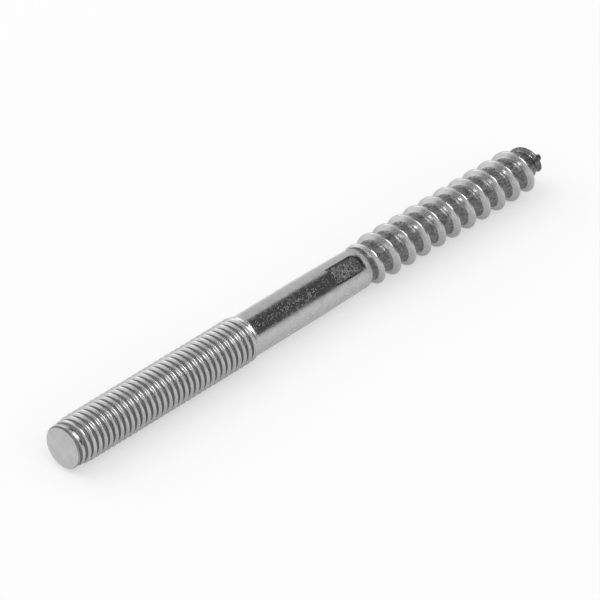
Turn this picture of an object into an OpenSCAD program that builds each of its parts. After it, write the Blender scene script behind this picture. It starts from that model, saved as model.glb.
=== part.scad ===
// Hanger bolt M10: a metric thread on one end, a plain shank and a coarse wood thread on the other.
// It lies on its side along X with its lowest crest on Z = 0, the flat cut end towards -X.

/* [Metric end] */
// Outside diameter of the metric thread
metric_d = 10; // [8:0.5:12]
// Pitch of the metric thread
metric_pitch = 1.5; // [1.25:0.05:1.75]
// Length from the cut face to the end of the thread run-out
metric_length = 50.8; // [30:0.1:80]
// Diameter of the cut face
face_d = 9; // [8.6:0.1:9.4]
// Length over which the first crests grow to full height
lead_in = 4.4; // [2:0.5:8]

/* [Shank] */
// Length of the plain shank between the threads
shank_length = 32.6; // [20:0.1:60]
// Diameter of the shank beside the metric thread
shank_d = 9; // [8.8:0.1:9.2]
// Diameter of the shank beside the wood thread
neck_d = 8.6; // [8.4:0.1:9]

/* [Pressed pocket] */
// Length of the flat pocket in the shank
pocket_length = 8.5; // [5:0.5:12]
// Width of the pocket
pocket_w = 4.1; // [3:0.1:5]
// Depth of the pocket's floor at its deep end, below the shank's surface
pocket_depth = 0.85; // [0.5:0.05:1.2]
// Slope of the floor along the shank
pocket_slope = 2.5; // [0:0.5:4]
// Gap between the pocket's round end and the start of the wood thread
pocket_gap = 0.8; // [0.4:0.1:3]
// Where the pocket faces, turned about the bolt's axis
pocket_turn = 211; // [0:1:360]

/* [Wood end] */
// Outside diameter of the wood thread
wood_d = 10.1; // [9.6:0.1:10.4]
// Diameter of the core between the turns
core_d = 7.2; // [6.4:0.1:7.8]
// Pitch of the wood thread
wood_pitch = 4.5; // [4:0.1:5]
// Length of the wood end with its nib
wood_length = 55.6; // [40:0.1:80]
// Length over which the point tapers
point_length = 5.8; // [4:0.1:8]
// Diameter of the nib left on the point
nib_d = 1.55; // [1:0.05:2]
// Length of the nib
nib_length = 0.9; // [0.4:0.1:2]

/* [Hidden] */
$fn = 72;

// Both threads have 60 degree flanks.
flank = tan(30);

metric_r = metric_d / 2;
metric_depth = 0.6134 * metric_pitch;
metric_root_r = metric_r - metric_depth;
metric_sides = 24;
crest_half = metric_pitch / 16;
groove_half = metric_pitch / 2 - crest_half;
groove_phase = -0.4;
run_in = 1;
run_out = 1.4;
face_bevel = 0.15;

shank_r = shank_d / 2;
neck_r = neck_d / 2;
neck_taper = 14;
wood_start = metric_length + shank_length;

wood_r = wood_d / 2;
core_r = core_d / 2;
wood_sides = 36;
wood_crest_half = 0.22;
core_taper = 3;
rise_turns = 1.2;
point_start = wood_start + wood_length - nib_length - point_length;
bolt_length = wood_start + wood_length;
nib_r = nib_d / 2;

// The triangles of a closed skin over rings of four corners, in order along the helix.
function skin(rings) = concat(
    [[0, 1, 2], [0, 2, 3]],
    [for (i = [0 : rings - 2], j = [0 : 3], half = [0, 1])
        let (a = 4 * i + j, b = 4 * i + (j + 1) % 4)
        half == 0 ? [a, a + 4, b] : [b, a + 4, b + 4]],
    let (e = 4 * (rings - 1)) [[e, e + 2, e + 1], [e, e + 3, e + 2]]
);

// A point at radius r and height z, turned by the angle a.
function polar(r, a, z) = [r * cos(a), r * sin(a), z];

// The groove of the metric thread: it starts shallow at the bevel of the cut face and lifts out at the run-out.
module metric_groove() {
    outer_r = metric_r + 0.1;
    outer_half = groove_half + 0.1 * flank;
    from = -metric_pitch;
    to = metric_length + 0.3;
    rings = ceil((to - from) / metric_pitch * metric_sides) + 1;
    first = round(((from - groove_phase) / metric_pitch) * metric_sides);
    points = [for (i = [0 : rings - 1])
        let (
            a = (first + i) * 360 / metric_sides,
            z = groove_phase + metric_pitch * a / 360,
            lift_in = 0.42 * max(0, min(1, 1 - z / run_in)),
            lift_out = (metric_depth - 0.12) * max(0, z - (metric_length - run_out)) / run_out,
            r = metric_root_r + lift_in + lift_out,
            half = groove_half - (metric_r - r) * flank
        )
        each [polar(r, a, z - half), polar(r, a, z + half),
            polar(outer_r, a, z + outer_half), polar(outer_r, a, z - outer_half)]];
    polyhedron(points, skin(rings));
}

// The whole bolt's turned outline, from the bevelled cut face to the nib.
module turned_blank() {
    face_r = face_d / 2;
    rotate_extrude() polygon([
        [0, 0],
        [face_r - face_bevel, 0],
        [face_r, face_bevel],
        [metric_r, lead_in],
        [metric_r, metric_length - run_out],
        [shank_r, metric_length],
        [shank_r, wood_start - neck_taper],
        [neck_r, wood_start - 1],
        [neck_r, wood_start],
        [core_r, wood_start + core_taper],
        [core_r, point_start],
        [core_r - 0.4, point_start + 0.3 * point_length],
        [core_r - 1.5, point_start + 0.7 * point_length],
        [nib_r, bolt_length - nib_length],
        [nib_r, bolt_length - 0.15],
        [nib_r - 0.15, bolt_length],
        [0, bolt_length]
    ]);
}

// The pocket pressed into the shank: round at its deep end, hollowed at its shallow end.
module pressed_pocket() {
    end_r = 2.2;
    hollow_r = 4.7;
    hollow_depth = 0.45;
    deep_end = wood_start - pocket_gap;
    floor_r = neck_r - pocket_depth;
    rotate([0, 0, pocket_turn])
    translate([floor_r, 0, deep_end])
    rotate([0, -pocket_slope, 0])
    rotate([90, 0, 90])
    linear_extrude(height = 3)
    difference() {
        intersection() {
            translate([-pocket_w / 2, -pocket_length]) square([pocket_w, pocket_length]);
            union() {
                translate([0, -end_r]) circle(r = end_r);
                translate([-pocket_w / 2, -pocket_length]) square([pocket_w, pocket_length - end_r + 0.8]);
            }
        }
        translate([0, hollow_depth - pocket_length - hollow_r]) circle(r = hollow_r);
    }
}

// The ridge of the wood thread: it grows out of the shank and sinks into the point.
module wood_ridge() {
    from = wood_start - 1.1;
    to = bolt_length - nib_length;
    fade_from = point_start - 1.6;
    fade_length = bolt_length - fade_from;
    rings = ceil((to - from) / wood_pitch * wood_sides) + 1;
    points = [for (i = [0 : rings - 1])
        let (
            a = i * 360 / wood_sides - 88,
            z = from + wood_pitch * i / wood_sides,
            rise = min(1, i / wood_sides / rise_turns),
            fade = max(0, z - fade_from) / fade_length,
            r = (neck_r - 0.3 + (wood_r - neck_r + 0.3) * rise) * (1 - pow(fade, 2.2)),
            base_r = max(0.3, min(core_r - 0.5, r - 0.5)),
            half = wood_crest_half + (r - base_r) * flank
        )
        each [polar(base_r, a, z - half), polar(base_r, a, z + half),
            polar(r, a, z + wood_crest_half), polar(r, a, z - wood_crest_half)]];
    polyhedron(points, skin(rings));
}

module hanger_bolt() {
    color("silver")
    translate([-bolt_length / 2, 0, wood_r])
    rotate([0, 90, 0])
    union() {
        difference() {
            turned_blank();
            pressed_pocket();
            metric_groove();
        }
        wood_ridge();
    }
}

hanger_bolt();
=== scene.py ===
"""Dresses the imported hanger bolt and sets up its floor, light and camera.

Sizes are kept in metres. The bolt's mesh is shaped in millimetres about its own axis, and is then
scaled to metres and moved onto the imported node.
"""

import math

import bmesh
import bpy
from bpy.props import FloatProperty, PointerProperty, StringProperty
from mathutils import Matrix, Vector, noise


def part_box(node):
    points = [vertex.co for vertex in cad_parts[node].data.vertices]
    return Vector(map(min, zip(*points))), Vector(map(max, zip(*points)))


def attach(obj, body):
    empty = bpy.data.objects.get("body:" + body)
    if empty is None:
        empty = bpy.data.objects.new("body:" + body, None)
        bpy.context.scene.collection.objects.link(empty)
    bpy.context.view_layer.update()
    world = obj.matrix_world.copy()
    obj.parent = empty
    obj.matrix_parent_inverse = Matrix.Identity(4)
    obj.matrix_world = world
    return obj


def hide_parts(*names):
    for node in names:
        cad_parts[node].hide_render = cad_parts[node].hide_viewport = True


bl_info = {
    "name": "Hanger bolt",
    "version": (1, 0, 0),
    "blender": (4, 5, 0),
    "location": "View3D > Sidebar > Hanger bolt",
    "description": "An M10 hanger bolt with rolled threads, on a pale studio floor",
    "category": "Add Mesh",
}

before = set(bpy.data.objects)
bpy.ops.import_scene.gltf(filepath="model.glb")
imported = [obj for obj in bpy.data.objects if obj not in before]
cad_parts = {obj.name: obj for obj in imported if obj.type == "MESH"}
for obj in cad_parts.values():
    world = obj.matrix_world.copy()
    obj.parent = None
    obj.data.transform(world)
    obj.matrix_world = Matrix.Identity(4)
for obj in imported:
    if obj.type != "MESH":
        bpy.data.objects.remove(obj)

MM = 0.001
FLANK = math.tan(math.radians(30))  # both threads have 60 degree flanks

# tolerances of the mesh work, in millimetres
AT_RING = 1e-3  # how near to a place a vertex counts as standing on it
ON_PLANE = 1e-4  # how near to a cutting plane a vertex counts as lying on it
WELD = 2e-3  # how near two turns' vertices are when they are merged

CUT_FACE, POCKET = 1, 2  # material numbers of the faces, where plating is 0


def length(name, value, about):
    """A size property, given in millimetres and kept in metres."""
    return FloatProperty(
        name=name, description=about, default=value * MM, unit="LENGTH", precision=5
    )


def angle(name, value, about):
    """An angle property, given in degrees and kept in radians."""
    return FloatProperty(
        name=name, description=about, default=math.radians(value), subtype="ANGLE"
    )


def tone(name, value, about):
    """A colour property, given as an sRGB hex value."""
    return StringProperty(name=name, description=about, default=value)


def linear(hex_value):
    """Turns an sRGB hex value into a linear colour with full alpha."""
    parts = [int(hex_value[i : i + 2], 16) / 255 for i in (1, 3, 5)]
    return [p / 12.92 if p <= 0.04045 else ((p + 0.055) / 1.055) ** 2.4 for p in parts] + [1.0]


class HangerBoltSettings(bpy.types.PropertyGroup):
    """Sizes and colours of the hanger bolt, with the names that its CAD source uses."""

    metric_d: length("Metric diameter", 10, "Outside diameter of the metric thread")
    metric_pitch: length("Metric pitch", 1.5, "Pitch of the metric thread")
    metric_length: length("Metric length", 50.8, "From the cut face to the end of the run-out")
    groove_phase: length("Groove phase", -0.4, "Where the groove's centre stands under the bolt")
    face_d: length("Cut face diameter", 9, "Diameter of the cut face over its bevel")
    face_bevel: length("Cut face bevel", 0.15, "Width of the bevel round the cut face")
    lead_in: length("Lead-in", 4.4, "Length over which the first crests grow to full height")
    run_in: length("Groove run-in", 1, "Length over which the groove deepens at the cut face")
    run_out: length("Groove run-out", 1.4, "Length over which the groove lifts out at the shank")
    shank_length: length("Shank length", 32.6, "Plain length between the threads")
    shank_d: length("Shank diameter", 9, "Diameter beside the metric thread")
    neck_d: length("Neck diameter", 8.6, "Diameter beside the wood thread")
    neck_taper: length("Neck taper", 14, "Length over which the shank thins to the neck")
    pocket_length: length("Pocket length", 8.5, "Length of the pressed pocket")
    pocket_w: length("Pocket width", 4.1, "Width of the pressed pocket")
    pocket_depth: length("Pocket depth", 0.85, "Depth of its floor at the round end")
    pocket_gap: length("Pocket gap", 0.8, "From the pocket's round end to the wood thread")
    pocket_slope: angle("Pocket slope", 2.5, "Slope of its floor along the shank")
    pocket_turn: angle("Pocket turn", 211, "Where it faces, turned about the axis")
    wood_d: length("Wood diameter", 10.1, "Outside diameter of the wood thread")
    core_d: length("Core diameter", 7.2, "Diameter between the turns of the wood thread")
    wood_pitch: length("Wood pitch", 4.5, "Pitch of the wood thread")
    wood_length: length("Wood length", 55.6, "Length of the wood end with its nib")
    wood_crest: length("Wood crest", 0.44, "Width of the wood thread's crest")
    core_taper: length("Core taper", 3, "Length over which the neck thins to the core")
    point_length: length("Point length", 5.8, "Length over which the point tapers")
    nib_d: length("Nib diameter", 1.55, "Diameter of the nib left on the point")
    nib_length: length("Nib length", 0.9, "Length of the nib")
    burnt_from: length("Dark point", 133.3, "From the cut face to where the plating ends")
    steel_tone: tone("Plated steel", "#BCBCBC", "Bright zinc over steel")
    patch_tone: tone("Dull patches", "#B4B4B4", "Where the zinc has gone dull")
    # painted shade: the next three tones darken the threads' roots, the second one in specks by the
    # grain
    wood_root_shade_tone: tone("Wood thread roots", "#888888", "Thin, matt zinc between the wood turns")
    root_shade_speck_tone: tone("Root shade specks", "#646464", "Specks of oily residue in those roots")
    metric_root_shade_tone: tone("Metric thread roots", "#767676", "Residue in the narrow metric roots")
    pocket_tone: tone("Pocket floor", "#868686", "Steel smeared by the pressing tool")
    face_tone: tone("Cut face", "#D4D4D4", "Cropped end under thin zinc")
    point_tone: tone("Dark point", "#808080", "Unplated steel of the point")
    # in the pocket this tone also gives painted shade along the walls and the round end
    oxide_and_wall_shade_tone: tone("Oxide", "#525252", "Oxide on the point and residue in the pocket")
    floor_tone: tone("Floor", "#F9F9F9", "Studio paper")


def clamp(value):
    """Holds a share between nothing and all."""
    return min(max(value, 0.0), 1.0)


def soft_max(a, b, blend):
    """The larger of two values, with the corner between them rounded over the blend."""
    near = max(blend - abs(a - b), 0.0) / blend
    return max(a, b) + near * near * blend / 4


def nearest_turn(x, turn, start, pitch):
    """The place along the axis where a helix comes nearest to x, at a turn around the axis."""
    rounds = (x - start) / pitch - turn
    return x - (rounds - round(rounds)) * pitch


class BoltForm:
    """The bolt's radius in millimetres at a place along its axis and a turn around it."""

    # the metric groove
    groove_share = 0.6134  # its depth, as a share of the pitch
    start_lift = 0.42  # how much shallower it starts at the cut face
    end_depth = 0.12  # its depth at the end of the run-out
    groove_fillet = 0.3  # height over which a corner is rounded, here and in the next ones
    crest_rounding = 0.7
    crest_spare = 0.11  # height that the rounding takes off the crests again
    crest_grows = 0.5  # length over which the spare height comes in at the cut face

    # the wood thread's ridge
    ridge_turn = 88 / 360  # where it starts, turned about the axis
    rise_turns = 1.2  # turns over which it grows out of the neck
    ridge_sunk = 0.3  # how far under the neck's surface it starts
    ridge_fade = 1.6  # how far before the point it starts to sink
    fade_power = 2.2  # the higher, the later it sinks
    ridge_rounding = 0.2
    ridge_fillet = 0.35

    neck_length = 1  # plain length before the wood thread
    nib_bevel = 0.15
    seam_half = 0.1  # how far the shank's and the wood thread's skins end from their seam

    # the pressed pocket
    end_r = 2.2  # of its round, deep end
    hollow_r = 4.7  # of the arc at its shallow end
    hollow_depth = 0.45  # how far the arc reaches in
    side_wall, hollow_wall, end_wall = 0.4, 0.25, 0.35  # how far each wall slopes in

    # wear: depth, the size of its patches, and the radius from which a crest takes it
    bruise, bruise_size, bruised_from = 0.16, 0.45, 4.2
    unevenness, uneven_size, uneven_from = 0.03, 2.2, 4.55
    crest_band = 0.4  # height over which a crest comes to take it in full
    face_margin = 0.3  # width beside the cut face that isn't bruised
    bruise_grows = 0.5  # length over which the bruises come in after that
    ragged, ragged_size = 0.12, 0.5  # share of the nib's radius

    def __init__(self, settings):
        for name, prop in settings.bl_rna.properties.items():
            if prop.type == "FLOAT":
                value = getattr(settings, name)
                setattr(self, name, value / MM if prop.unit == "LENGTH" else value)
        for part in ("metric", "shank", "neck", "wood", "core", "nib"):
            setattr(self, part + "_r", getattr(self, part + "_d") / 2)
        self.metric_depth = self.groove_share * self.metric_pitch
        self.root_half = self.metric_pitch * 7 / 16 - self.metric_depth * FLANK
        self.groove_end = self.metric_length + 0.3  # where the threaded skin ends
        self.wood_start = self.metric_length + self.shank_length
        self.ridge_start = self.wood_start - 1.1
        self.seam = self.ridge_start + self.seam_half
        self.length = self.wood_start + self.wood_length
        self.nib_start = self.length - self.nib_length
        self.point_start = self.nib_start - self.point_length
        self.fade_from = self.point_start - self.ridge_fade
        self.pocket_end = self.wood_start - self.pocket_gap
        self.pocket_start = self.pocket_end - self.pocket_length
        self.outline = [
            (0, self.face_d / 2 - self.face_bevel),
            (self.face_bevel, self.face_d / 2),
            (self.lead_in, self.metric_r),
            (self.metric_length - self.run_out, self.metric_r),
            (self.metric_length, self.shank_r),
            (self.wood_start - self.neck_taper, self.shank_r),
            (self.wood_start - self.neck_length, self.neck_r),
            (self.wood_start, self.neck_r),
            (self.wood_start + self.core_taper, self.core_r),
            (self.point_start, self.core_r),
            (self.point_start + 0.3 * self.point_length, self.core_r - 0.4),
            (self.point_start + 0.7 * self.point_length, self.core_r - 1.5),
            (self.nib_start, self.nib_r),
            (self.length - self.nib_bevel, self.nib_r),
            (self.length, self.nib_r - self.nib_bevel),
        ]

    def turned(self, x):
        """Radius of the turned blank under both threads."""
        for (x0, r0), (x1, r1) in zip(self.outline, self.outline[1:]):
            if x <= x1:
                return r0 + (r1 - r0) * clamp((x - x0) / (x1 - x0))
        return self.outline[-1][1]

    def groove(self, x, turn):
        """Radius of the metric groove, which starts shallow and lifts out at the shank."""
        centre = nearest_turn(x, turn, self.groove_phase, self.metric_pitch)
        out = clamp((centre - self.metric_length + self.run_out) / self.run_out)
        lift = self.start_lift * clamp(1 - centre / self.run_in)
        lift += (self.metric_depth - self.end_depth) * out
        wall = soft_max(0.0, (abs(x - centre) - self.root_half) / FLANK, self.groove_fillet)
        return self.metric_r - self.metric_depth + lift + wall

    def ridge(self, x, turn):
        """Radius of the wood ridge, which grows out of the neck and sinks into the point."""
        centre = nearest_turn(x, turn + self.ridge_turn, self.ridge_start, self.wood_pitch)
        low = self.neck_r - self.ridge_sunk
        rise = clamp((centre - self.ridge_start) / self.wood_pitch / self.rise_turns)
        fade = clamp((centre - self.fade_from) / (self.length - self.fade_from))
        crest = (low + (self.wood_r - low) * rise) * (1 - fade**self.fade_power)
        off_crest = (abs(x - centre) - self.wood_crest / 2) / FLANK
        return crest - soft_max(0.0, off_crest, self.ridge_rounding)

    def radius(self, x, turn):
        """Radius of the whole bolt, without its pocket."""
        plain = self.turned(x)
        if x < self.groove_end:
            # rolling rounds the crests, and their tops stay within 0.05 mm of the turned blank
            grown = clamp(x / self.crest_grows) * clamp((self.metric_length - x) / self.run_out)
            full = plain + self.crest_spare * grown
            return min(plain, -soft_max(-full, -self.groove(x, turn), self.crest_rounding))
        if self.seam < x < self.nib_start:
            return soft_max(plain, self.ridge(x, turn), self.ridge_fillet)
        return plain

    def pocket_height(self, x, across, height):
        """Height of the pressed pocket's surface over the axis, under a point of the shank."""
        end_x = x - (self.pocket_end - self.end_r)
        hollow_x = x - (self.pocket_start + self.hollow_depth - self.hollow_r)
        end = self.end_r - math.hypot(max(end_x, 0.0), across)
        side = self.pocket_w / 2 - abs(across)
        hollow = math.hypot(hollow_x, across) - self.hollow_r
        if min(end, side, hollow) <= 0 or x > self.pocket_end:
            return height
        deepest = self.neck_r - self.pocket_depth
        floor = deepest + (self.pocket_end - x) * math.tan(self.pocket_slope)
        inwards = min(side / self.side_wall, hollow / self.hollow_wall)
        if end_x > 0:
            inwards = min(inwards, end / self.end_wall)
        wall = 1 - clamp(inwards)
        return min(height, floor + (height - floor) * wall * wall)

    def worn(self, r, place):
        """The radius at a place on the skin, after cropping and rolling have marked it."""
        x = place.x
        if x >= self.nib_start:
            return r * (1 + self.ragged * (noise.noise(place / self.ragged_size) - 0.5))
        if x > self.lead_in:
            share = clamp((r - self.uneven_from) / self.crest_band)
            dent = 0.5 + 0.5 * noise.noise(place / self.uneven_size)
            return r - self.unevenness * share * dent
        if x > self.face_margin:
            share = clamp((r - self.bruised_from) / self.crest_band)
            share *= clamp((x - self.face_margin) / self.bruise_grows) * (1 - x / self.lead_in)
            dent = 0.5 + 0.5 * noise.noise(place / self.bruise_size)
            return r - self.bruise * share * dent
        return r


def ring_at(bm, x):
    """The open edges of the mesh that stand at x."""
    return [
        e for e in bm.edges if e.is_boundary and all(abs(v.co.x - x) < AT_RING for v in e.verts)
    ]


def carry_ring(bm, edges, x):
    """Extrudes an open ring along the axis to x, and returns the ring it ends in."""
    made = bmesh.ops.extrude_edge_only(bm, edges=edges)["geom"]
    verts = [g for g in made if isinstance(g, bmesh.types.BMVert)]
    bmesh.ops.translate(bm, verts=verts, vec=(x - verts[0].co.x, 0, 0))
    carried = set(verts)
    return [g for g in made if isinstance(g, bmesh.types.BMEdge) and set(g.verts) <= carried]


def cut_at(bm, x, side=1, **choices):
    """Cuts the mesh across its axis at x."""
    bmesh.ops.bisect_plane(
        bm, geom=bm.verts[:] + bm.edges[:] + bm.faces[:], dist=ON_PLANE,
        plane_co=(x, 0, 0), plane_no=(side, 0, 0), **choices,
    )


def thread_skin(offsets, centre, pitch, steps, start, end):
    """Spins one pitch of a thread's profile round its helix, repeats it and trims both ends."""
    bm = bmesh.new()
    radius = 4  # any radius does, because the form sets the real one later
    line = [bm.verts.new((centre + off, 0, -radius)) for off in offsets + [offsets[0] + pitch]]
    edges = [bm.edges.new(pair) for pair in zip(line, line[1:])]
    bmesh.ops.spin(
        bm, geom=line + edges, cent=(0, 0, 0), axis=(1, 0, 0), dvec=(pitch / steps, 0, 0),
        angle=math.tau, steps=steps,
    )
    turn = bm.verts[:] + bm.edges[:] + bm.faces[:]
    turns = math.ceil((end - centre - offsets[0]) / pitch)
    for _ in range(turns - 1):
        turn = bmesh.ops.duplicate(bm, geom=turn)["geom"]
        verts = [g for g in turn if isinstance(g, bmesh.types.BMVert)]
        bmesh.ops.translate(bm, verts=verts, vec=(pitch, 0, 0))
    bmesh.ops.remove_doubles(bm, verts=bm.verts[:], dist=WELD)
    cut_at(bm, start, side=-1, clear_outer=True)
    cut_at(bm, end, clear_outer=True)
    return bm


def steps_between(start, end, step):
    """Evenly spaced places from start to end, without the start."""
    count = max(1, round((end - start) / step))
    return [start + (end - start) * (i + 1) / count for i in range(count)]


def metric_skin(form):
    """The metric thread's skin, with an edge along the bevel of the cut face."""
    # edges from the groove's middle up both flanks, and one along the crest
    half = [0.05, 0.14, 0.22, 0.34, 0.46, 0.56, 0.63, 0.69]
    crest = 0.75
    bm = thread_skin(
        [-o for o in reversed(half)] + half + [crest],
        centre=form.groove_phase - 2 * form.metric_pitch,
        pitch=form.metric_pitch, steps=72, start=0.0, end=form.groove_end,
    )
    cut_at(bm, form.face_bevel)
    return bm


def add_shank(bm, form):
    """Carries the metric thread's last ring along the shank, closely where the pocket comes."""
    close_from = form.pocket_start - 0.5
    wide, close = 0.8, 0.25
    places = steps_between(form.groove_end, close_from, wide)
    places += steps_between(close_from, form.ridge_start, close)
    ring = ring_at(bm, form.groove_end)
    for x in places:
        ring = carry_ring(bm, ring, x)


def add_wood_end(bm, form):
    """Makes the wood thread, the point and the nib, and bridges them to the shank."""
    # edges from the ridge's middle down both flanks and along the core
    half = [0.09, 0.18, 0.27, 0.45, 0.65, 0.85, 1.0, 1.2, 1.5, 1.9]
    start = form.seam + form.seam_half
    wood = thread_skin(
        [-o for o in reversed(half)] + [0.0] + half,
        centre=form.ridge_start + form.wood_pitch * (form.ridge_turn - 2),
        pitch=form.wood_pitch, steps=90, start=start, end=form.nib_start,
    )
    nib_middle = form.length - 0.5
    for x in (nib_middle, form.length - form.nib_bevel, form.length):
        carry_ring(wood, ring_at(wood, max(v.co.x for v in wood.verts)), x)
    held = bpy.data.meshes.new("held")
    wood.to_mesh(held)
    wood.free()
    bm.from_mesh(held)
    bpy.data.meshes.remove(held)
    bmesh.ops.bridge_loops(bm, edges=ring_at(bm, form.ridge_start) + ring_at(bm, start))


def about_axis(v):
    """A vertex's angle about the axis, from straight below it."""
    return math.atan2(v.co.y, -v.co.z)


def from_pocket(angle, form):
    """How far an angle about the axis is from the pocket's middle, either way."""
    return (angle - form.pocket_turn + math.pi) % math.tau - math.pi


def refine_pocket(bm, form):
    """Divides the faces that the pocket is pressed into."""
    start, end = form.pocket_start - 0.4, form.pocket_end + 0.2
    reach = math.radians(33)

    def over_pocket(v):
        return start < v.co.x < end and abs(from_pocket(about_axis(v), form)) < reach

    edges = [e for e in bm.edges if all(over_pocket(v) for v in e.verts)]
    bmesh.ops.subdivide_edges(bm, edges=edges, cuts=3, use_grid_fill=True)


def give_form(bm, form):
    """Moves every vertex onto the form, presses the pocket in and marks its vertices."""
    pressed = bm.verts.layers.int.new("pressed")
    start, end, reach = form.pocket_start - 1, form.pocket_end + 1, 1.0  # well round the pocket
    least = 0.004  # depth from which a vertex belongs to the pocket
    for v in bm.verts:
        x, angle = v.co.x, about_axis(v)
        r = form.radius(x, angle / math.tau)
        apart = from_pocket(angle, form)
        if start < x < end and abs(apart) < reach:
            across, height = r * math.sin(apart), r * math.cos(apart)
            lowered = form.pocket_height(x, across, height)
            v[pressed] = int(lowered < height - least)
            r = math.hypot(across, lowered)
            angle = form.pocket_turn + math.atan2(across, lowered)
        r = form.worn(r, Vector((x, r * math.sin(angle), -r * math.cos(angle))))
        v.co = (x, r * math.sin(angle), -r * math.cos(angle))


def close_ends(bm, form):
    """Caps both ends, the cut face with two rings round its centre."""
    for x in (0.0, form.length):
        cap = bmesh.ops.contextual_create(bm, geom=ring_at(bm, x))["faces"]
        if x == 0.0:
            for width in (0.25, 1.3):
                bmesh.ops.inset_region(bm, faces=cap, thickness=width, use_even_offset=True)
        bmesh.ops.poke(bm, faces=cap)
    bmesh.ops.recalc_face_normals(bm, faces=bm.faces[:])


def shape_bolt(form):
    """The bolt's whole skin as one bmesh, in millimetres about its own axis."""
    bm = metric_skin(form)
    add_shank(bm, form)
    add_wood_end(bm, form)
    refine_pocket(bm, form)
    give_form(bm, form)
    close_ends(bm, form)
    return bm


def sort_faces(bm, form):
    """Gives the cut face and the pocket their own materials, and keeps the ends' corners."""
    corner = math.radians(38)  # faces that meet at more than this have an edge between them
    near_face = 1
    pressed = bm.verts.layers.int["pressed"]
    for f in bm.faces:
        f.smooth = True
        if all(v.co.x < AT_RING for v in f.verts):
            f.material_index = CUT_FACE
        elif any(v[pressed] for v in f.verts):
            f.material_index = POCKET
    bm.verts.layers.int.remove(pressed)
    for e in bm.edges:
        if len({f.material_index for f in e.link_faces}) > 1:
            e.smooth = False
        elif len(e.link_faces) == 2 and e.calc_face_angle(0.0) > corner:
            places = [v.co.x for v in e.verts]
            e.smooth = min(places) > near_face and max(places) < form.nib_start


def add_node(tree, kind, inputs=None, **settings):
    """Adds a node, sets its properties, and fills each input with a value or a link."""
    made = tree.nodes.new(kind)
    for name, value in settings.items():
        setattr(made, name, value)
    for key, value in (inputs or {}).items():
        if isinstance(value, bpy.types.NodeSocket):
            tree.links.new(value, made.inputs[key])
        else:
            made.inputs[key].default_value = value
    return made


def emptied(block):
    """Turns on the nodes of a new material or world, and clears the ones that come with it."""
    block.use_nodes = True
    block.node_tree.nodes.clear()
    return block.node_tree


def bolt_places(settings):
    """Where the bolt's cut face, shank and wood thread start along X, in metres."""
    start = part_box("hanger_bolt")[0].x
    shank = start + settings.metric_length
    return start, shank, shank + settings.shank_length


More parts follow.
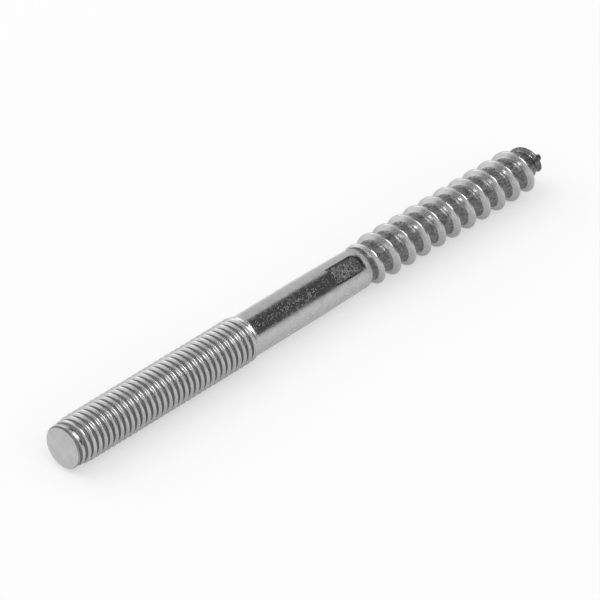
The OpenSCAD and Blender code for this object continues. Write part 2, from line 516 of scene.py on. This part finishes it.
def plated_steel(settings):
    """Bright zinc-plated cold-rolled steel: a hard mirror-like metal with a fine pitted grain, and
    painted shade in its roots.
    """
    material = bpy.data.materials.new("bright_zinc_plated_cold_rolled_steel")
    tree = emptied(material)
    start, shank, wood = bolt_places(settings)
    place = add_node(tree, "ShaderNodeTexCoord").outputs["Object"]
    along = add_node(tree, "ShaderNodeSeparateXYZ", {"Vector": place}).outputs["X"]

    # zinc grain is about 0.05 mm and too fine to show, so it is drawn wider and twice as long
    grain_width, patch_width = 0.4 * MM, 1.5 * MM
    drawn = add_node(
        tree, "ShaderNodeVectorMath", {0: place, 1: (0.5, 1, 1)}, operation="MULTIPLY"
    ).outputs["Vector"]
    grain = add_node(
        tree, "ShaderNodeTexNoise",
        {"Vector": drawn, "Scale": 1 / grain_width, "Detail": 1.0, "Roughness": 0.5},
    ).outputs["Fac"]
    # the plating dulls in patches
    patches = add_node(
        tree, "ShaderNodeTexNoise",
        {"Vector": place, "Scale": 1 / patch_width, "Detail": 4.0, "Roughness": 0.6},
    ).outputs["Fac"]
    dull = add_node(
        tree, "ShaderNodeMapRange", {"Value": patches, "From Min": 0.42, "From Max": 0.68}
    ).outputs["Result"]
    plated = add_node(
        tree, "ShaderNodeMix",
        {"Factor": dull, 6: linear(settings.steel_tone), 7: linear(settings.patch_tone)},
        data_type="RGBA",
    ).outputs[2]

    # the threads' roots are matt, and below a radius that differs along the bolt they get painted
    # shade
    metric_limit, shank_limit, wood_limit = 4.52 * MM, 4.24 * MM, 3.98 * MM
    root_edge = 0.14 * MM
    above_axis = add_node(
        tree, "ShaderNodeVectorMath", {0: place, 1: (0, 0, settings.wood_d / 2)},
        operation="SUBTRACT",
    ).outputs["Vector"]
    around = add_node(
        tree, "ShaderNodeVectorMath", {0: above_axis, 1: (0, 1, 1)}, operation="MULTIPLY"
    ).outputs["Vector"]
    away = add_node(
        tree, "ShaderNodeVectorMath", {0: around}, operation="LENGTH"
    ).outputs["Value"]
    limit = add_node(
        tree, "ShaderNodeMapRange",
        {"Value": along, "From Min": shank - 1.5 * MM, "From Max": shank + 0.2 * MM,
         "To Min": metric_limit, "To Max": shank_limit},
    ).outputs["Result"]
    drop = add_node(
        tree, "ShaderNodeMapRange",
        {"Value": along, "From Min": wood + 1.4 * MM, "From Max": wood + 3 * MM,
         "To Max": shank_limit - wood_limit},
    ).outputs["Result"]
    limit = add_node(
        tree, "ShaderNodeMath", {0: limit, 1: drop}, operation="SUBTRACT"
    ).outputs[0]
    below = add_node(
        tree, "ShaderNodeMath", {0: limit, 1: away}, operation="SUBTRACT"
    ).outputs[0]
    # how far a point lies in the painted root shade, which also sets the roots' roughness
    hollow = add_node(
        tree, "ShaderNodeMapRange", {"Value": below, "From Max": root_edge},
        interpolation_type="SMOOTHSTEP",
    ).outputs["Result"]
    specks = add_node(
        tree, "ShaderNodeMapRange", {"Value": grain, "From Min": 0.4, "From Max": 0.62}
    ).outputs["Result"]
    # painted shade for the roots, flecked with darker specks by the grain
    root = add_node(
        tree, "ShaderNodeMix",
        {"Factor": specks, 6: linear(settings.wood_root_shade_tone), 7: linear(settings.root_shade_speck_tone)},
        data_type="RGBA",
    ).outputs[2]
    # the metric thread's narrow roots get a darker painted shade
    fine = add_node(
        tree, "ShaderNodeMapRange",
        {"Value": along, "From Min": shank - 1.5 * MM, "From Max": shank,
         "To Min": 1.0, "To Max": 0.0},
    ).outputs["Result"]
    root = add_node(
        tree, "ShaderNodeMix", {"Factor": fine, 6: root, 7: linear(settings.metric_root_shade_tone)},
        data_type="RGBA",
    ).outputs[2]
    plated = add_node(
        tree, "ShaderNodeMix", {"Factor": hollow, 6: plated, 7: root}, data_type="RGBA"
    ).outputs[2]

    # the point is left dark beyond a slightly ragged line
    edge, stray = start + settings.burnt_from, 1.2 * MM
    ragged = add_node(
        tree, "ShaderNodeMath", {0: patches, 1: stray, 2: along}, operation="MULTIPLY_ADD"
    ).outputs[0]
    dark = add_node(
        tree, "ShaderNodeMapRange",
        {"Value": ragged, "From Min": edge + 0.3 * MM, "From Max": edge + 1.0 * MM},
        interpolation_type="SMOOTHSTEP",
    ).outputs["Result"]
    oxide = add_node(
        tree, "ShaderNodeMix",
        {"Factor": specks, 6: linear(settings.point_tone), 7: linear(settings.oxide_and_wall_shade_tone)},
        data_type="RGBA",
    ).outputs[2]
    colour = add_node(
        tree, "ShaderNodeMix", {"Factor": dark, 6: plated, 7: oxide}, data_type="RGBA"
    ).outputs[2]

    # some grains and patches are matt, so the dark reflection along the shank is broken up
    bright_rough, dull_rough = 0.16, 0.34
    uneven = add_node(
        tree, "ShaderNodeMath", {0: grain, 1: patches}, operation="ADD"
    ).outputs[0]
    rough = add_node(
        tree, "ShaderNodeMapRange",
        {"Value": uneven, "From Min": 0.85, "From Max": 1.25,
         "To Min": bright_rough, "To Max": dull_rough},
    ).outputs["Result"]
    # rolling the first turn of the wood thread leaves the neck beside the pocket matt
    near_neck = add_node(
        tree, "ShaderNodeMapRange",
        {"Value": along, "From Min": wood - 1.0 * MM, "From Max": wood - 0.4 * MM},
        interpolation_type="SMOOTHSTEP",
    ).outputs["Result"]
    past_neck = add_node(
        tree, "ShaderNodeMapRange",
        {"Value": along, "From Min": wood + 1.0 * MM, "From Max": wood + 2.0 * MM,
         "To Min": 1.0, "To Max": 0.0},
        interpolation_type="SMOOTHSTEP",
    ).outputs["Result"]
    neck = add_node(
        tree, "ShaderNodeMath", {0: near_neck, 1: past_neck}, operation="MULTIPLY"
    ).outputs[0]
    root_rough, fine_root_rough, neck_rough, point_rough = 0.5, 0.6, 0.6, 0.42
    hollow_rough = add_node(
        tree, "ShaderNodeMix", {"Factor": fine, 2: root_rough, 3: fine_root_rough},
        data_type="FLOAT",
    ).outputs[0]
    for share, level in ((neck, neck_rough), (hollow, hollow_rough), (dark, point_rough)):
        rough = add_node(
            tree, "ShaderNodeMix", {"Factor": share, 2: rough, 3: level}, data_type="FLOAT"
        ).outputs[0]

    # the grain stands about 0.01 mm high, on waves of 0.02 mm left by rolling
    waves = add_node(
        tree, "ShaderNodeBump", {"Height": patches, "Strength": 1.0, "Distance": 0.02 * MM}
    ).outputs["Normal"]
    bump = add_node(
        tree, "ShaderNodeBump",
        {"Height": grain, "Strength": 1.0, "Distance": 0.01 * MM, "Normal": waves},
    ).outputs["Normal"]
    shader = add_node(
        tree, "ShaderNodeBsdfPrincipled",
        {"Base Color": colour, "Metallic": 1.0, "Roughness": rough, "Normal": bump},
    )
    add_node(tree, "ShaderNodeOutputMaterial", {"Surface": shader.outputs["BSDF"]})
    return material


def pressed_steel(settings):
    """Steel smeared by the pressing tool: a coarse matt grain, with painted shade along its walls.
    """
    material = bpy.data.materials.new("pressed_oily_steel")
    tree = emptied(material)
    place = add_node(tree, "ShaderNodeTexCoord").outputs["Object"]
    along = add_node(tree, "ShaderNodeSeparateXYZ", {"Vector": place}).outputs["X"]

    # the smeared grain is drawn out across the shank
    grain_width = 0.6 * MM
    smeared = add_node(
        tree, "ShaderNodeVectorMath", {0: place, 1: (1.5, 0.7, 0.7)}, operation="MULTIPLY"
    ).outputs["Vector"]
    grain = add_node(
        tree, "ShaderNodeTexNoise",
        {"Vector": smeared, "Scale": 1 / grain_width, "Detail": 4.0, "Roughness": 0.65},
    ).outputs["Fac"]
    smooth_grain, coarse_grain = 0.36, 0.66
    mottled = add_node(
        tree, "ShaderNodeMapRange",
        {"Value": grain, "From Min": smooth_grain, "From Max": coarse_grain},
    ).outputs["Result"]
    floor = add_node(
        tree, "ShaderNodeMix",
        {"Factor": mottled, 6: linear(settings.pocket_tone), 7: linear(settings.oxide_and_wall_shade_tone)},
        data_type="RGBA",
    ).outputs[2]

    # painted shade lies against the side walls and over the last stretch before the round end
    side = settings.pocket_w / 2
    end = bolt_places(settings)[2] - settings.pocket_gap
    sideways = (0, math.cos(settings.pocket_turn), math.sin(settings.pocket_turn))
    above_axis = add_node(
        tree, "ShaderNodeVectorMath", {0: place, 1: (0, 0, settings.wood_d / 2)},
        operation="SUBTRACT",
    ).outputs["Vector"]
    across = add_node(
        tree, "ShaderNodeVectorMath", {0: above_axis, 1: sideways}, operation="DOT_PRODUCT"
    ).outputs["Value"]
    aside = add_node(tree, "ShaderNodeMath", {0: across}, operation="ABSOLUTE").outputs[0]
    beside = add_node(
        tree, "ShaderNodeMapRange",
        {"Value": aside, "From Min": side - 0.5 * MM, "From Max": side - 0.2 * MM},
        interpolation_type="SMOOTHSTEP",
    ).outputs["Result"]
    beyond = add_node(
        tree, "ShaderNodeMapRange",
        {"Value": along, "From Min": end - 1.8 * MM, "From Max": end - 0.4 * MM},
        interpolation_type="SMOOTHSTEP",
    ).outputs["Result"]
    painted_shade = add_node(
        tree, "ShaderNodeMath", {0: beside, 1: beyond}, operation="MAXIMUM"
    ).outputs[0]
    # the painted shade darkens the floor along the walls and the round end
    colour = add_node(
        tree, "ShaderNodeMix", {"Factor": painted_shade, 6: floor, 7: linear(settings.oxide_and_wall_shade_tone)},
        data_type="RGBA",
    ).outputs[2]

    rough = add_node(
        tree, "ShaderNodeMapRange",
        {"Value": grain, "From Min": smooth_grain, "From Max": coarse_grain,
         "To Min": 0.5, "To Max": 0.35},
    ).outputs["Result"]
    bump = add_node(
        tree, "ShaderNodeBump", {"Height": grain, "Strength": 1.0, "Distance": 0.12 * MM}
    ).outputs["Normal"]
    shader = add_node(
        tree, "ShaderNodeBsdfPrincipled",
        {"Base Color": colour, "Metallic": 1.0, "Roughness": rough, "Normal": bump},
    )
    add_node(tree, "ShaderNodeOutputMaterial", {"Surface": shader.outputs["BSDF"]})
    return material


def cropped_steel(settings):
    """Cropped steel under thin zinc: a torn, matt grain with no clear reflection."""
    material = bpy.data.materials.new("cropped_zinc_plated_steel")
    tree = emptied(material)
    place = add_node(tree, "ShaderNodeTexCoord").outputs["Object"]
    grain_width, cloud_width = 0.3 * MM, 3 * MM
    grain = add_node(
        tree, "ShaderNodeTexNoise",
        {"Vector": place, "Scale": 1 / grain_width, "Detail": 4.0, "Roughness": 0.65},
    ).outputs["Fac"]
    cloud = add_node(
        tree, "ShaderNodeTexNoise", {"Vector": place, "Scale": 1 / cloud_width, "Detail": 2.0}
    ).outputs["Fac"]
    colour = add_node(
        tree, "ShaderNodeMix",
        {"Factor": cloud, 6: linear(settings.face_tone), 7: linear(settings.patch_tone)},
        data_type="RGBA",
    ).outputs[2]
    bump = add_node(
        tree, "ShaderNodeBump", {"Height": grain, "Strength": 1.0, "Distance": 0.04 * MM}
    ).outputs["Normal"]
    shader = add_node(
        tree, "ShaderNodeBsdfPrincipled",
        {"Base Color": colour, "Metallic": 1.0, "Roughness": 0.55, "Normal": bump},
    )
    add_node(tree, "ShaderNodeOutputMaterial", {"Surface": shader.outputs["BSDF"]})
    return material


class OBJECT_OT_hanger_bolt(bpy.types.Operator):
    """Makes the bolt's threads, pressed pocket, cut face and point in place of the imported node"""

    bl_idname = "object.hanger_bolt_make"
    bl_label = "Make hanger bolt"

    def execute(self, context):
        settings = context.scene.hanger_bolt
        form = BoltForm(settings)
        bm = shape_bolt(form)
        sort_faces(bm, form)
        start, _, _ = bolt_places(settings)
        bmesh.ops.scale(bm, verts=bm.verts[:], vec=(MM, MM, MM))
        bmesh.ops.translate(bm, verts=bm.verts[:], vec=(start, 0, settings.wood_d / 2))
        mesh = bpy.data.meshes.new("bolt_steel")
        bm.to_mesh(mesh)
        bm.free()
        # in the order of the faces' material numbers: plating, CUT_FACE, POCKET
        for finish in (plated_steel, cropped_steel, pressed_steel):
            mesh.materials.append(finish(settings))
        bolt = bpy.data.objects.new("bolt_steel", mesh)
        context.collection.objects.link(bolt)
        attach(bolt, "root")
        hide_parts("hanger_bolt")
        return {"FINISHED"}


class OBJECT_OT_hanger_bolt_stage(bpy.types.Operator):
    """Sets up the pale floor, the soft studio light and the camera"""

    bl_idname = "object.hanger_bolt_stage"
    bl_label = "Set up stage"

    def execute(self, context):
        settings = context.scene.hanger_bolt
        self.add_camera(context)
        self.add_floor(context, settings)
        self.add_world(context)
        self.add_lamps(context)
        context.scene.view_settings.view_transform = "Standard"
        return {"FINISHED"}

    def add_camera(self, context):
        """A long lens looking down the bolt from beyond its cut face."""
        tilt, turn = math.radians(34.26), math.radians(42.7)
        target = Vector((-1.75, 0.54, 5.18)) * MM
        distance = 1.367
        sensor, image_width, focal_length = 36, 600, 6917  # in mm, pixels and pixels
        camera = bpy.data.objects.new("camera", bpy.data.cameras.new("camera"))
        context.collection.objects.link(camera)
        level = math.cos(tilt)
        ahead = Vector((level * math.cos(turn), level * math.sin(turn), -math.sin(tilt)))
        camera.location = target - ahead * distance
        camera.rotation_euler = ahead.to_track_quat("-Z", "Y").to_euler()
        camera.data.sensor_width = sensor
        camera.data.lens = sensor * focal_length / image_width
        camera.data.clip_start, camera.data.clip_end = 0.05, 50
        context.scene.camera = camera

    def add_floor(self, context, settings):
        """A wide sheet of matt studio paper."""
        bm = bmesh.new()
        bmesh.ops.create_grid(bm, x_segments=4, y_segments=4, size=4)
        mesh = bpy.data.meshes.new("floor")
        bm.to_mesh(mesh)
        bm.free()
        floor = bpy.data.objects.new("floor", mesh)
        context.collection.objects.link(floor)
        material = bpy.data.materials.new("matt_studio_paper")
        tree = emptied(material)
        shader = add_node(
            tree, "ShaderNodeBsdfPrincipled",
            {"Base Color": linear(settings.floor_tone), "Roughness": 1.0,
             "Specular IOR Level": 0.0},
        )
        # half of what is seen of the paper, and a third of what the steel mirrors, is plain white
        seen_white, mirrored_white = 0.5, 0.3
        white = add_node(
            tree, "ShaderNodeEmission", {"Color": (1.0, 1.0, 1.0, 1.0), "Strength": 1.0}
        )
        ray = add_node(tree, "ShaderNodeLightPath").outputs
        mirrored = add_node(
            tree, "ShaderNodeMath", {0: ray["Is Glossy Ray"], 1: mirrored_white},
            operation="MULTIPLY",
        ).outputs[0]
        share = add_node(
            tree, "ShaderNodeMath", {0: ray["Is Camera Ray"], 1: seen_white, 2: mirrored},
            operation="MULTIPLY_ADD",
        ).outputs[0]
        paper = add_node(
            tree, "ShaderNodeMixShader",
            {"Fac": share, 1: shader.outputs["BSDF"], 2: white.outputs["Emission"]},
        )
        add_node(tree, "ShaderNodeOutputMaterial", {"Surface": paper.outputs["Shader"]})
        mesh.materials.append(material)

    def add_world(self, context):
        """A pale room, with dark and bright areas that the polished steel shows as bands."""
        room, light, background = 0.82, 0.8, 1.0  # what is mirrored, what lights, what is seen
        # direction, inner and outer edge in degrees, brightness
        areas = (
            ((0.05, 0.3, 0.95), 16, 34, 0.3),  # gap overhead
            ((0.25, -0.88, 0.4), 8, 22, 0.15),  # dark corner low on the near side
            ((0.566, -0.37, 0.736), 33, 46, 0.09),  # dark ceiling over the wood end
            ((-0.5, 0.78, 0.35), 18, 38, 1.2),  # bright wall on the far side
            ((-0.95, 0.03, 0.24), 11, 22, 0.42),  # dim corner beyond the cut face
            ((-0.3, -0.5, 0.82), 8, 17, 4.5),  # softbox, its dimmer end
            ((0.0, -0.5, 0.87), 8, 17, 11.5),  # softbox, its bright end
        )
        world = bpy.data.worlds.new("studio")
        context.scene.world = world
        tree = emptied(world)
        ahead = add_node(tree, "ShaderNodeTexCoord").outputs["Generated"]
        mirrored = room
        for direction, inner, outer, brightness in areas:
            toward = add_node(
                tree, "ShaderNodeVectorMath", {0: ahead, 1: Vector(direction).normalized()},
                operation="DOT_PRODUCT",
            ).outputs["Value"]
            share = add_node(
                tree, "ShaderNodeMapRange",
                {"Value": toward, "From Min": math.cos(math.radians(outer)),
                 "From Max": math.cos(math.radians(inner))},
                interpolation_type="SMOOTHSTEP",
            ).outputs["Result"]
            mirrored = add_node(
                tree, "ShaderNodeMix", {"Factor": share, 2: mirrored, 3: brightness},
                data_type="FLOAT",
            ).outputs[0]
        ray = add_node(tree, "ShaderNodeLightPath").outputs
        level = add_node(
            tree, "ShaderNodeMix", {"Factor": ray["Is Glossy Ray"], 2: light, 3: mirrored},
            data_type="FLOAT",
        ).outputs[0]
        level = add_node(
            tree, "ShaderNodeMix", {"Factor": ray["Is Camera Ray"], 2: level, 3: background},
            data_type="FLOAT",
        ).outputs[0]
        back = add_node(tree, "ShaderNodeBackground", {"Color": level, "Strength": 1.0})
        add_node(tree, "ShaderNodeOutputWorld", {"Surface": back.outputs["Background"]})

    def add_lamps(self, context):
        """One large soft key behind the bolt and a weaker softbox above its near side."""
        for name, spot, size, watts in (
            ("key", (-0.2, 0.9, 1.0), 1.2, 4.5),
            ("softbox", (-0.2, -0.7, 0.95), 0.7, 1.5),
        ):
            data = bpy.data.lights.new(name, "AREA")
            data.shape, data.size, data.energy = "SQUARE", size, watts
            lamp = bpy.data.objects.new(name, data)
            lamp.location = spot
            lamp.rotation_euler = (-Vector(spot)).to_track_quat("-Z", "Y").to_euler()
            context.collection.objects.link(lamp)


class VIEW3D_PT_hanger_bolt(bpy.types.Panel):
    """Sidebar panel with the bolt's sizes and its operators"""

    bl_label = "Hanger bolt"
    bl_category = "Hanger bolt"
    bl_space_type = "VIEW_3D"
    bl_region_type = "UI"

    def draw(self, context):
        settings = context.scene.hanger_bolt
        for name in settings.bl_rna.properties.keys():
            if name not in ("rna_type", "name"):
                self.layout.prop(settings, name)
        for operator in (OBJECT_OT_hanger_bolt, OBJECT_OT_hanger_bolt_stage):
            self.layout.operator(operator.bl_idname)


CLASSES = (
    HangerBoltSettings,
    OBJECT_OT_hanger_bolt,
    OBJECT_OT_hanger_bolt_stage,
    VIEW3D_PT_hanger_bolt,
)


def register():
    for cls in CLASSES:
        bpy.utils.register_class(cls)
    bpy.types.Scene.hanger_bolt = PointerProperty(type=HangerBoltSettings)


def unregister():
    del bpy.types.Scene.hanger_bolt
    for cls in reversed(CLASSES):
        bpy.utils.unregister_class(cls)


def main():
    """Builds the dressed bolt and its stage."""
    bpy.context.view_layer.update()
    register()
    bpy.ops.object.hanger_bolt_stage()
    bpy.ops.object.hanger_bolt_make()


if __name__ == "__main__":
    main()
